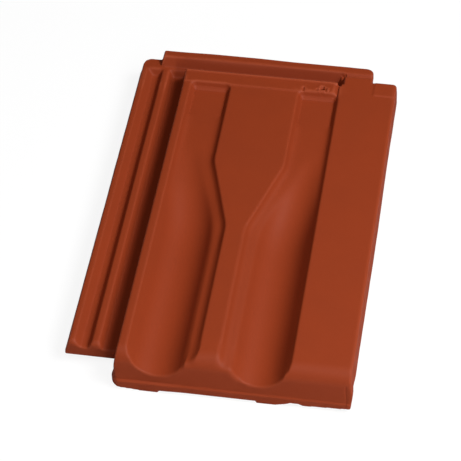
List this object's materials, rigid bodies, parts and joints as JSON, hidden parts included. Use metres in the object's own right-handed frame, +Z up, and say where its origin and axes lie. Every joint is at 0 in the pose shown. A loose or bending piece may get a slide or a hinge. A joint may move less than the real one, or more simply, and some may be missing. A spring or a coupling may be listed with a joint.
{
  "type": "interlocking clay roof tile",
  "caption": "Fired clay interlocking roof tile with a side lock and a head lock, a wide cover strip and two troughs that run down to a rolled foot.",
  "frame": {"origin": "middle of the tile's outline, at the level of the lugs and nibs that it lies on", "axes": "+X across the roof from the side lock to the cover strip, +Y up the roof from the foot to the head, +Z up out of the roof"},
  "size_m": [0.283, 0.437, 0.044],
  "materials": {
    "fired_clay": "matte orange-red slip on pressed and fired clay"
  },
  "bodies": {
    "root": {"roof_tile": "fired_clay"}
  },
  "joints": []
}
